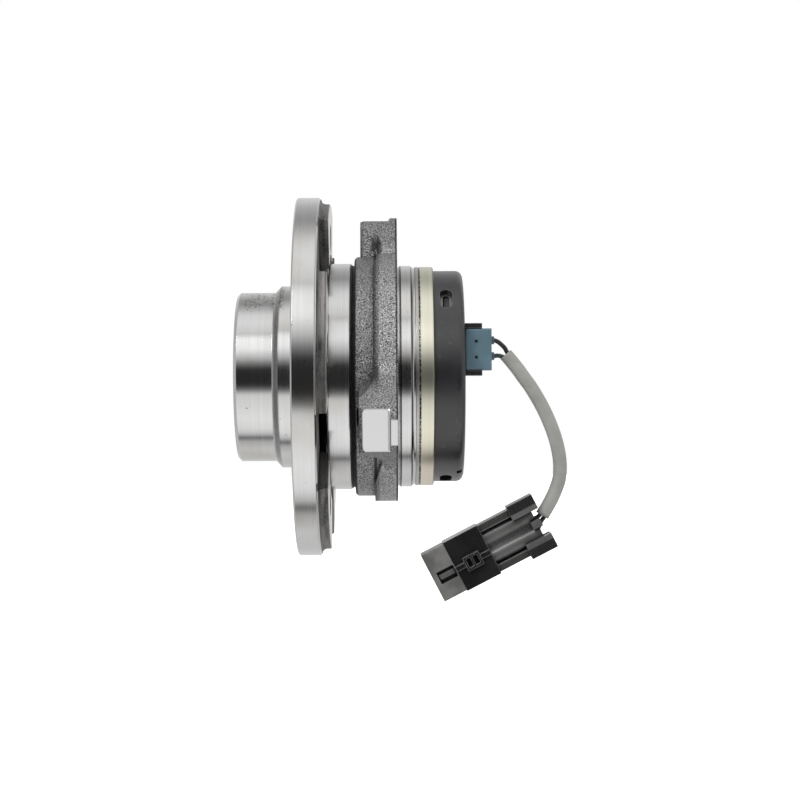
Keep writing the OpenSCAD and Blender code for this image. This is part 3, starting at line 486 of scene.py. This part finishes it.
def milled_ends(tree, place, x):
    """1 on the milled flat and on the milled lip at the end of each lug, by the distance out along it."""
    total = 0.0
    lip = calc(tree, "SUBTRACT", edge(tree, x, LIP_X, LIP_X + 0.05), edge(tree, x, LIP_END, LIP_END + 0.1))
    before = calc(tree, "MAXIMUM", calc(tree, "SUBTRACT", FLAT_FRONT + FLAT_CORNER, x), 0.0)
    for i in range(LUG_COUNT):
        a = math.radians(LUG_ANGLE + i * 360 / LUG_COUNT)
        far = vector(tree, "DOT_PRODUCT", place, (0, -math.cos(a), math.sin(a)))
        side = vector(tree, "DOT_PRODUCT", place, (0, math.sin(a), math.cos(a)))
        side = calc(tree, "SUBTRACT", calc(tree, "ABSOLUTE", side), FLAT_HALF - FLAT_CORNER)
        side = calc(tree, "MAXIMUM", side, 0.0)
        corner = add(tree, "ShaderNodeCombineXYZ", {0: before, 1: side}).outputs[0]
        inside = below(tree, vector(tree, "LENGTH", corner), FLAT_CORNER - 0.1, FLAT_CORNER)
        flat = all_of(tree, edge(tree, far, LUG_FLAT_R - 0.1, LUG_FLAT_R - 0.05), inside,
                      below(tree, x, LIP_X - 0.4, LIP_X - 0.3))
        high = all_of(tree, edge(tree, far, LUG_LIP_R - 0.1, LUG_LIP_R - 0.05), lip)
        total = any_of(tree, total, any_of(tree, flat, high))
    return total


def painted_shade_and_parting_line(tree, x, radius):
    """Painted shade in the land's groove, at the rear edge and in the hollow beside each lug, and the dark
    parting line.
    """
    groove = calc(tree, "SUBTRACT", edge(tree, x, LAND_EDGE, BARREL_FRONT - 0.6),
                  edge(tree, x, BARREL_FRONT, BARREL_FRONT + 0.6))
    line = all_of(tree, band(tree, x, PARTING_X, 0.9), below(tree, radius, PARTING_R, PARTING_END_R))
    hollow = calc(tree, "SUBTRACT", edge(tree, radius, *HOLLOW_R), edge(tree, radius, *HOLLOW_END_R))
    hollow = all_of(tree, hollow, band(tree, x, PARTING_X, 2.4))
    return any_of(tree, groove, band(tree, x, *REAR_SHADE), any_of(tree, line, hollow))


def blasted_skin(tree, x, radius, coarse, place):
    """Grey dents with painted glints, stronger on the mounting plate than on the barrel."""
    dents = edge(tree, coarse, 0.38, 0.6)
    barrel = mixed(tree, dents, lin("303030"), lin("A6A6A6"))
    plate = mixed(tree, dents, lin("303030"), lin("B8B8B8"))
    inner = below(tree, radius, LUG_FOOT_R, LUG_FOOT_END_R)
    tone = mixed(tree, all_of(tree, inner, edge(tree, x, PARTING_X - 0.3, PARTING_X + 0.3)), barrel, plate)
    # The glints are painted highlights: bright specks put in the colour, fainter out on the lugs.
    glints = edge(tree, noise(tree, place, 2.5, 2.0), 0.58, 0.67)
    tone = mixed(tree, all_of(tree, glints, mixed(tree, inner, 0.3, 1.0)), tone, lin("EAEAEA"))
    # The groove, the rear edge and the hollows are painted dark as shade; the parting line is a dark mould
    # line.
    tone = mixed(tree, all_of(tree, painted_shade_and_parting_line(tree, x, radius), 0.85), tone, lin("232322"))
    # The casting is painted darker in its corners and hollows, as shade.
    return shade_painted_in_corners(tree, tone, "1C1C1B", 0.004)


def casting():
    """Blasted and grey, turned bright where it seats, milled pale at the ends of the lugs."""
    made, tree, shader = new_finish("shot_blasted_casting", Metallic=1.0)
    place, x, radius, profile = axis_coordinates(tree)
    bright, rings = turned_colour(tree, place, profile)
    oily = any_of(tree, *[band(tree, x, at, half) for at, half in OIL_LINES])
    bright = mixed(tree, oily, bright, lin("4C4B48"))
    land = below(tree, x, LAND_EDGE - 0.3, LAND_EDGE + 1.2)
    turned = any_of(tree, land, edge(tree, x, REAR_X, REAR_X + 0.04))
    flats = milled_ends(tree, place, x)
    cells = add(tree, "ShaderNodeTexVoronoi", {"Vector": place, "Scale": 1.9}, feature="F1")
    coarse = noise(tree, place, 1.9, 4.0, 0.75)
    # The bright strip at the step behind each flat is a painted highlight on its bevel.
    milled = mixed(tree, band(tree, x, STEP_X, 0.45), lin("CCCCCC"), lin("F6F6F6"))
    tone = mixed(tree, flats, blasted_skin(tree, x, radius, coarse, place), milled)
    tree.links.new(mixed(tree, turned, tone, bright), shader.inputs["Base Color"])
    rough = mixed(tree, flats, 0.5, 0.34)
    rough = mixed(tree, turned, rough, mixed(tree, rings, *TURNED_ROUGH))
    tree.links.new(rough, shader.inputs["Roughness"])
    machined = any_of(tree, turned, flats)
    height = mixed(tree, machined, calc(tree, "ADD", cells.outputs["Distance"], coarse), rings)
    bumped(tree, shader, height, mixed(tree, machined, 0.75, 0.03), 0.0003, 0.0007)
    round_the_axis(tree, shader, 0.4)
    return made


wear("outer_ring", casting())
print("casting on", nodes["outer_ring"].name)

# %% [markdown]
# Yellow zinc, for the retaining ring. The ring is pressed from sheet, zinc plated and passivated, which
# leaves a film that shows pale gold with greenish and pinkish patches as its thickness changes round the
# ring.

# %% Yellow zinc plate
# The seam and the rear edge along X, and the heights between which pink turns to green
SEAM_X, REAR_EDGE_X, PINK_Z, GREEN_Z = 8.8, 14.4, -40.0, -12.0


def yellow_zinc():
    """Pale gold with a dark seam and a dark rear edge."""
    made, tree, shader = new_finish("yellow_zinc_plate", Metallic=1.0, Roughness=0.32)
    place, x, _, profile = axis_coordinates(tree)
    patch = edge(tree, noise(tree, place, 0.022, 2.0), 0.35, 0.65)
    green = mixed(tree, patch, lin("BDC0A6"), lin("C6C2AE"))
    tone = mixed(tree, below(tree, height_of(tree, place), PINK_Z, GREEN_Z), green, lin("CDBCA6"))
    rings = ring_noise(tree, place, profile, 0.8)
    tone = mixed(tree, rings, tone, lin("DAD8CC"))
    tone = mixed(tree, edge(tree, x, SEAM_X - 0.2, SEAM_X), lin("ABABA8"), tone)
    specks = edge(tree, noise(tree, place, 1.2, 3.0), 0.35, 0.55)
    seam = any_of(tree, all_of(tree, band(tree, x, SEAM_X, 0.55), specks), band(tree, x, REAR_EDGE_X, 0.3))
    tree.links.new(mixed(tree, seam, tone, lin("4A4436")), shader.inputs["Base Color"])
    bumped(tree, shader, rings, 0.05, 0.0002, 0.0004)
    return made


wear("retainer_ring", yellow_zinc())
print("zinc on", nodes["retainer_ring"].name)

# %% [markdown]
# Black glass-filled nylon, for the cap and the connector. A moulded face has a satin skin that mirrors
# the spark grain of the mould, about 0.2 mm, and handling leaves pale scuffs on it. The grain is drawn at
# 0.3 mm.

# %% Moulded plastics
def moulded(name, tone, shade, rough=0.42, scuffs=0.0, grain=3.2, scuff_and_highlight_colour="8E8E90", ior=1.5,
            zones=None, edges=0.25):
    """A moulded plastic with a fine grain, slow changes of tone, and scuffs where something rubbed it."""
    made, tree, shader = new_finish(name, Metallic=0.0, IOR=ior)
    place = axis_coordinates(tree)[0]
    slow = edge(tree, noise(tree, place, 0.08, 3.0), 0.35, 0.65)
    colour = mixed(tree, slow, lin(tone), lin(shade))
    rub = edge(tree, noise(tree, place, 0.35, 6.0, 0.75), 0.6, 0.78)
    colour = mixed(tree, all_of(tree, rub, scuffs), colour, lin(scuff_and_highlight_colour))
    if zones:
        colour = zones(tree, place, colour)
    # Each plastic is painted darker in its corners and hollows, as shade.
    colour = shade_painted_in_corners(tree, colour, "0C0C0C", 0.002)
    # Each plastic's sharp edges are painted paler, as highlights.
    colour = pale_edge_highlights(tree, colour, scuff_and_highlight_colour, edges, 0.0005)
    tree.links.new(colour, shader.inputs["Base Color"])
    fine = noise(tree, place, grain, 2.0)
    tree.links.new(mixed(tree, fine, rough - 0.08, rough + 0.08), shader.inputs["Roughness"])
    bumped(tree, shader, fine, 0.12, 0.0001, 0.0005)
    return made


# On the connector: the rails' distance from its middle, and the wings' depth from its rear
RAIL_SIDE, WING_DEPTH = 7.6, 11.4
# On the cap: the marks' place and half width along X, and the height that they reach
MARKS_X, MARKS_HALF, MARKS_TOP_Z = 24.3, 1.6, 4.0


def connector_light_and_shade(tree, place, colour):
    """Painted light: the barrels over the wires are paler than the rails, as their gloss highlight, and the
    rear wings darker.
    """
    along, round_it = (math.cos(tilt), 0, math.sin(tilt)), (-math.sin(tilt), 0, math.cos(tilt))
    middle = Vector((rear.x, 0, rear.y))
    depth = vector(tree, "DOT_PRODUCT", place, along)
    depth = calc(tree, "SUBTRACT", middle.dot(Vector(along)), depth)
    side = vector(tree, "DOT_PRODUCT", place, round_it)
    side = calc(tree, "ABSOLUTE", calc(tree, "SUBTRACT", side, middle.dot(Vector(round_it))))
    rails = edge(tree, side, RAIL_SIDE, RAIL_SIDE + 0.4)
    wings = all_of(tree, rails, below(tree, depth, WING_DEPTH, WING_DEPTH + 0.8))
    colour = mixed(tree, rails, colour, lin("3E3E3D"))
    return mixed(tree, wings, colour, lin("262626"))


def cap_zones(tree, place, colour):
    """Dark marks near the cap's outer corner, where tools have rubbed it."""
    x = add(tree, "ShaderNodeSeparateXYZ", {0: place}).outputs["X"]
    marks = edge(tree, noise(tree, place, 0.3, 5.0, 0.7), 0.5, 0.58)
    low = below(tree, height_of(tree, place), -MARKS_TOP_Z, MARKS_TOP_Z)
    return mixed(tree, all_of(tree, band(tree, x, MARKS_X, MARKS_HALF), marks, low), colour, lin("0A0A0B"))


cap_nylon = moulded("satin_black_nylon", "1E1E21", "29292C", rough=0.32, scuffs=0.45, ior=1.6,
                    zones=cap_zones, edges=0.6)
# The body's grey is black nylon painted paler, as its gloss highlight.
connector_nylon = moulded("worn_nylon_with_painted_sheen", "545453", "626261", rough=0.28, scuffs=0.3,
                          zones=connector_light_and_shade)
collar_nylon = moulded("glossy_black_nylon", "1C1C1C", "252525", rough=0.18, scuffs=0.15, edges=0.7)
grey_nylon = moulded("grey_nylon", "5E5E5C", "7E7D7A", rough=0.34, scuffs=0.3)
blue_nylon = moulded("blue_grey_nylon", "5A7480", "668390", rough=0.45, scuffs=0.1, scuff_and_highlight_colour="9FB2BA")
cage_nylon = moulded("natural_nylon", "D8D0BC", "E2DAC8", rough=0.4)
# The bobbin's near black is partly its dark nylon and partly painted shade inside the cap's slots.
bobbin_nylon = moulded("brown_nylon_painted_dark", "141110", "1C1816", rough=0.5)
wear("sensor_cap", cap_nylon)
wear("connector_body", connector_nylon)
wear("connector_collar", collar_nylon)
wear("connector_nose", grey_nylon)
wear("sensor_plug", blue_nylon)
wear("outboard_cage", cage_nylon)
wear("inboard_cage", cage_nylon)
wear("coil_bobbin", bobbin_nylon)
print("moulded plastics:", [m.name for m in (cap_nylon, connector_nylon, collar_nylon, grey_nylon,
                                             blue_nylon, cage_nylon, bobbin_nylon)])

# %% [markdown]
# Rubber and silicone, for the seals. Rubber is matte and never quite even, and a seal's silicone is
# softer still.

# %% Seal rubbers
seal_rubber = moulded("nitrile_rubber", "1C1C1C", "242424", rough=0.65, grain=1.8)
seal_silicone = moulded("pale_silicone", "8E8A80", "9A968C", rough=0.55, grain=1.8)
wear("outboard_seal_lip", seal_rubber)
wear("inboard_seal", seal_rubber)
wear("wire_seals", seal_silicone)
print("rubbers:", [m.name for m in (seal_rubber, seal_silicone)])

# %% [markdown]
# Soft PVC, for the wires and the sleeve. It is extruded, so its marks run along it. The sleeve is a warm
# light grey with a dull sheen and shallow, uneven flats.

# %% Extruded PVC
def extruded(name, tone, shade, rough):
    """A soft plastic with slow changes of tone and shallow flats."""
    made, tree, shader = new_finish(name, Metallic=0.0, IOR=1.52)
    place = axis_coordinates(tree)[0]
    slow = noise(tree, place, 0.12, 4.0)
    colour = mixed(tree, edge(tree, slow, 0.3, 0.7), lin(tone), lin(shade))
    tree.links.new(colour, shader.inputs["Base Color"])
    tree.links.new(mixed(tree, slow, rough - 0.1, rough + 0.1), shader.inputs["Roughness"])
    bump = add(tree, "ShaderNodeBump", {"Height": slow, "Strength": 0.25, "Distance": 0.0006}).outputs[0]
    tree.links.new(bump, shader.inputs["Normal"])
    return made


def dress(piece, made):
    """Puts a finish on a piece that was made here."""
    piece.data.materials.append(made)


dress(sleeve, extruded("grey_pvc_sleeve", "979893", "A6A7A2", 0.45))
dress(upper, extruded("black_pvc_wire", "1E1F1E", "2A2B2A", 0.35))
dress(lower, extruded("green_black_pvc_wire", "22332A", "2B3F34", 0.35))
print("extruded pieces:", [p.name for p in (sleeve, upper, lower)])

# %% [markdown]
# Ground bearing steel, for the inner ring and the balls. Grinding and lapping leave a mirror: a low
# roughness and no rings that the eye can part. The sheets, the winding, the magnet and the contacts are
# drawn as plain metals too, only duller. Most of them are hidden. The pole ring shows through the cap's
# drain slots.

# %% Steels inside the bearing
def plain_metal(name, tone, shade, rough, step=0.4, strength=0.02):
    """A bare metal of one colour, with rings that are step millimetres apart."""
    made, tree, shader = new_finish(name, Metallic=1.0)
    place, _, _, profile = axis_coordinates(tree)
    rings = ring_noise(tree, place, profile, step)
    tree.links.new(mixed(tree, rings, lin(tone), lin(shade)), shader.inputs["Base Color"])
    tree.links.new(mixed(tree, rings, rough - 0.04, rough + 0.06), shader.inputs["Roughness"])
    relief = {"Height": rings, "Strength": strength, "Distance": 0.0002}
    bump = add(tree, "ShaderNodeBump", relief).outputs[0]
    tree.links.new(bump, shader.inputs["Normal"])
    return made


bearing_steel = plain_metal("ground_bearing_steel", "C8C8CA", "D6D6D8", 0.1)
pressed_steel = plain_metal("pressed_sheet_steel", "A8A8A8", "B8B8B8", 0.32, step=0.7, strength=0.06)
pole_steel = plain_metal("phosphated_sheet_steel", "6A6A69", "7C7C7A", 0.4, step=0.7, strength=0.06)
# The winding's near black is partly its dark enamel and partly painted shade inside the cap's slots.
coil_copper = plain_metal("enamelled_copper_painted_dark", "0E0906", "160E0A", 0.75, step=0.35, strength=0.5)
ferrite = plain_metal("sintered_ferrite", "4A4A4C", "58585A", 0.6, step=0.9, strength=0.1)
tinned_brass = plain_metal("tinned_brass", "C8C0A4", "D6CEB4", 0.28)
for name in ("inner_ring", "outboard_balls", "inboard_balls"):
    wear(name, bearing_steel)
for name in ("tone_ring", "outboard_seal_case"):
    wear(name, pressed_steel)
wear("pole_ring", pole_steel)
wear("sensor_coil", coil_copper)
wear("magnet_ring", ferrite)
wear("sensor_pins", tinned_brass)
wear("connector_terminals", tinned_brass)
print("plain metals:", [m.name for m in (bearing_steel, pressed_steel, pole_steel, coil_copper, ferrite,
                                         tinned_brass)])

# %% [markdown]
# The studio. Bright metal shows only what is round it, so the light is set by what each surface mirrors.
# A surface that faces the camera mirrors the dark room behind the camera, which makes the dark band along
# every cylinder. Above and below that band it mirrors bright, soft walls of light, with a thin dark gap
# under the part where the table ends. The levels below are set by the angle round the axis, and the
# background stays white for the camera. The levels are halved in the colour ramp and doubled after it,
# which keeps every stop of the ramp between 0 and 1. Straight along the axis there is no such angle, so
# both ends of the room have one even level.

# %% World
LEVELS = [(-180, 0.75), (-140, 0.8), (-115, 0.95), (-98, 0.7), (-91, 0.12), (-85, 0.85), (-75, 1.25),
          (-58, 1.35), (-38, 1.2), (-24, 1.1), (-18, 0.25), (-12, 0.03), (11, 0.03), (18, 0.3), (25, 0.8),
          (38, 1.4), (50, 1.3), (57, 1.1), (60, 0.75), (63, 1.05), (78, 1.25), (93, 1.15), (103, 0.8),
          (116, 0.45), (134, 0.62), (150, 0.8), (180, 0.75)]
RAMP_TOP, END_LEVEL = 2.0, 0.75


def studio_world():
    """Light by the angle round the spin axis: 0 is behind the camera, 90 straight up, -90 straight down."""
    world = bpy.data.worlds.new("soft_walls")
    scene.world = world
    world.use_nodes = True
    tree = world.node_tree
    tree.nodes.clear()
    way = add(tree, "ShaderNodeTexCoord").outputs["Generated"]
    parts = add(tree, "ShaderNodeSeparateXYZ", {0: way})
    near = calc(tree, "MULTIPLY", parts.outputs["Y"], -1.0)
    turn = calc(tree, "ARCTAN2", parts.outputs["Z"], near)
    limits = {"Value": turn, "From Min": -math.pi, "From Max": math.pi}
    turn = add(tree, "ShaderNodeMapRange", limits).outputs[0]
    walls = add(tree, "ShaderNodeValToRGB", {0: turn})
    stops = walls.color_ramp.elements
    while len(stops) < len(LEVELS):
        stops.new(0.5)
    for stop, (angle, level) in zip(stops, LEVELS):
        stop.position = (angle + 180) / 360
        stop.color = (level / RAMP_TOP, level / RAMP_TOP, level / RAMP_TOP, 1)
    bright = calc(tree, "MULTIPLY", walls.outputs["Color"], RAMP_TOP)
    aside = calc(tree, "ABSOLUTE", parts.outputs["X"])
    level = mixed(tree, edge(tree, aside, 0.7, 0.97), bright, END_LEVEL)
    shown = add(tree, "ShaderNodeLightPath").outputs
    white = any_of(tree, shown["Is Camera Ray"], shown["Is Transmission Ray"])
    level = mixed(tree, white, level, 1.0)
    glow = add(tree, "ShaderNodeBackground", {"Color": (1, 1, 1, 1), "Strength": level}).outputs[0]
    add(tree, "ShaderNodeOutputWorld", {"Surface": glow})


studio_world()
print("world is ready")

# %% [markdown]
# A pale floor under the part catches its soft shadow, and one broad lamp from the upper left models the
# casting. For the camera the floor adds a little light of its own, so that it meets the white background
# without a line. A mirrored ray passes through it, because the metal has to mirror the soft walls below
# the table as well, and so does a ray that comes from below.

# %% Floor and lamp
FLOOR_Z, FLOOR_SIDE, FLOOR_FRONT, FLOOR_REAR, FLOOR_GLOW = -0.16, 3, -0.4, 3, 0.75
LAMP_AT, LAMP_SIZE, LAMP_POWER = (-0.7, -0.9, 1.0), 0.6, 9


def pale_floor():
    """A pale plane that shows only to the camera and to diffuse light from above it."""
    mesh = bpy.data.meshes.new("floor")
    corners = [(-FLOOR_SIDE, FLOOR_FRONT), (FLOOR_SIDE, FLOOR_FRONT), (FLOOR_SIDE, FLOOR_REAR),
               (-FLOOR_SIDE, FLOOR_REAR)]
    mesh.from_pydata([(x, y, FLOOR_Z) for x, y in corners], [], [(0, 1, 2, 3)])
    floor = bpy.data.objects.new("floor", mesh)
    scene.collection.objects.link(floor)
    made, tree, shader = new_finish("pale_floor", Roughness=0.9)
    shader.inputs["Base Color"].default_value = lin("E8E8E8")
    shown = add(tree, "ShaderNodeLightPath")
    glow = add(tree, "ShaderNodeEmission", {"Color": (1, 1, 1, 1), "Strength": FLOOR_GLOW}).outputs[0]
    both = add(tree, "ShaderNodeAddShader", {0: shader.outputs[0], 1: glow}).outputs[0]
    seen = add(tree, "ShaderNodeMixShader", {0: shown.outputs["Is Camera Ray"], 1: shader.outputs[0],
               2: both}).outputs[0]
    clear = add(tree, "ShaderNodeBsdfTransparent").outputs[0]
    from_below = add(tree, "ShaderNodeNewGeometry").outputs["Backfacing"]
    through = any_of(tree, shown.outputs["Is Glossy Ray"], from_below)
    seen = add(tree, "ShaderNodeMixShader", {0: through, 1: seen, 2: clear}).outputs[0]
    tree.links.new(seen, tree.nodes["Material Output"].inputs["Surface"])
    mesh.materials.append(made)
    return floor


def soft_lamp(name, at, towards, size, power):
    """A square lamp that faces a point."""
    light = bpy.data.lights.new(name, "AREA")
    light.shape = "SQUARE"
    light.size = size
    light.energy = power
    lamp = bpy.data.objects.new(name, light)
    scene.collection.objects.link(lamp)
    lamp.location = at
    lamp.rotation_mode = "QUATERNION"
    lamp.rotation_quaternion = (Vector(towards) - Vector(at)).to_track_quat("-Z", "Y")
    return lamp


pale_floor()
soft_lamp("broad_lamp", LAMP_AT, (0, 0, 0), LAMP_SIZE, LAMP_POWER)
scene.view_settings.view_transform = "Standard"
print("floor and lamp are ready")
